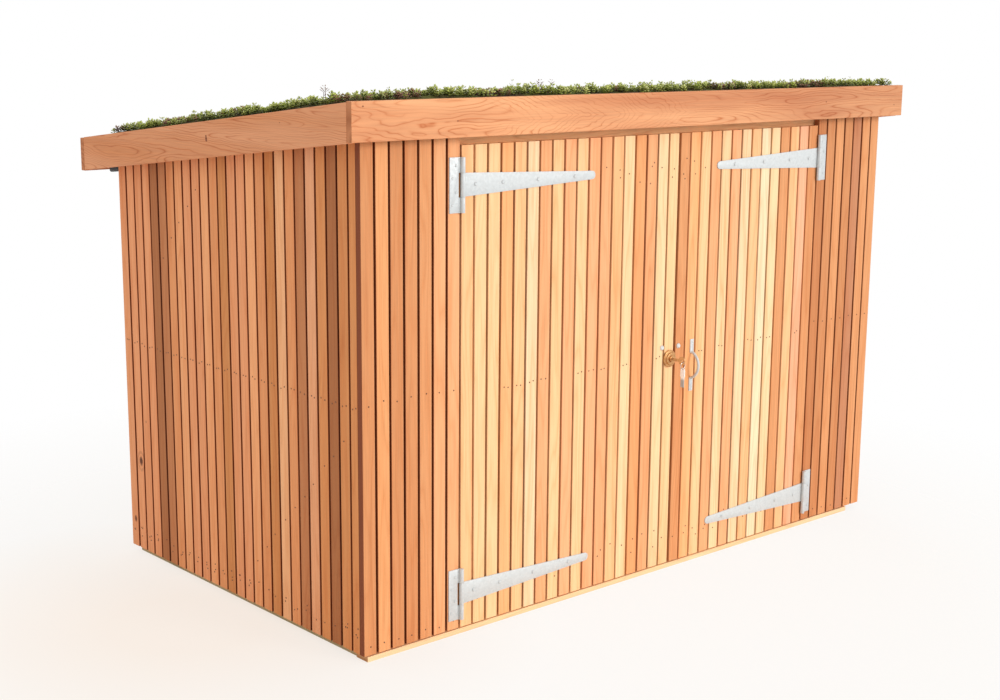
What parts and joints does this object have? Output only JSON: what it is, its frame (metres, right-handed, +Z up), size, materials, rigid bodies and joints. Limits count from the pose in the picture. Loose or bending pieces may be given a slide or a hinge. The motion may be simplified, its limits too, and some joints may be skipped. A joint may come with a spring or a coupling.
{
  "type": "bike shelter",
  "caption": "Closed timber bike shelter with upright board walls, outward-opening front doors on strap hinges, and a planted roof that falls to the back.",
  "frame": {"origin": "middle of the body's footprint at ground level, on the underside of the middle bearer", "axes": "+X to the right seen from the front, -Y out of the front with the doors, +Z up"},
  "size_m": [2.128, 1.3245, 1.402],
  "materials": {
    "treated_timber": "sawn, pressure treated",
    "floor_timber": "plain sheet, unfinished",
    "cedar_pale": "planed, unfinished, pale",
    "cedar_frame": "sawn, unfinished",
    "cedar_side": "planed, unfinished, reddish",
    "cedar_front": "planed, unfinished, orange",
    "cedar_fascia": "planed, unfinished, broad grain",
    "roof_rubber": "matt black sheet",
    "soil": "rough, crumbly",
    "plants": "leafy, green with dark and red patches",
    "galvanised_steel": "galvanised, lightly mottled",
    "dark_steel": "satin",
    "bright_steel": "plated, bright",
    "brass": "aged, satin"
  },
  "bodies": {
    "root": {"base_bearers": "treated_timber", "floor_deck": "floor_timber", "front_threshold": "cedar_pale", "left_wall_frame": "cedar_frame", "right_wall_frame": "cedar_frame", "back_wall_frame": "cedar_frame", "left_wall_braces": "cedar_frame", "right_wall_braces": "cedar_frame", "front_left_frame": "cedar_frame", "front_right_frame": "cedar_frame", "front_head_rail": "cedar_frame", "left_wall_boards": "cedar_side", "right_wall_boards": "cedar_side", "back_wall_boards": "cedar_side", "front_left_boards": "cedar_front", "front_right_boards": "cedar_front", "rafters": "cedar_frame", "soffit_battens": "cedar_frame", "roof_deck": "floor_timber", "roof_sheet": "roof_rubber", "growing_layer": "soil", "plant_mat": "plants", "front_fascia": "cedar_fascia", "left_fascia": "cedar_fascia", "right_fascia": "cedar_fascia", "back_fascia": "cedar_fascia", "rear_eaves_batten": "roof_rubber", "left_hinge_plates": "galvanised_steel", "right_hinge_plates": "galvanised_steel"},
    "left_door": {"left_door_frame": "cedar_frame", "left_door_boards": "cedar_pale", "left_door_straps": "galvanised_steel", "lock_rose": "brass", "lock_barrel": "brass", "lock_case": "dark_steel", "key": "brass", "key_ring": "bright_steel", "spare_key": "bright_steel"},
    "right_door": {"right_door_frame": "cedar_frame", "right_door_boards": "cedar_pale", "right_door_straps": "galvanised_steel", "pull_handle": "galvanised_steel", "lock_keep": "dark_steel"}
  },
  "joints": [
    {"name": "left_door_hinge", "type": "hinge", "parent": "root", "child": "left_door", "pos_m": [-0.704, -0.581, 0.636], "axis": [0, 0, -1], "range_deg": [0, 170]},
    {"name": "right_door_hinge", "type": "hinge", "parent": "root", "child": "right_door", "pos_m": [0.704, -0.581, 0.636], "axis": [0, 0, 1], "range_deg": [0, 170]}
  ]
}
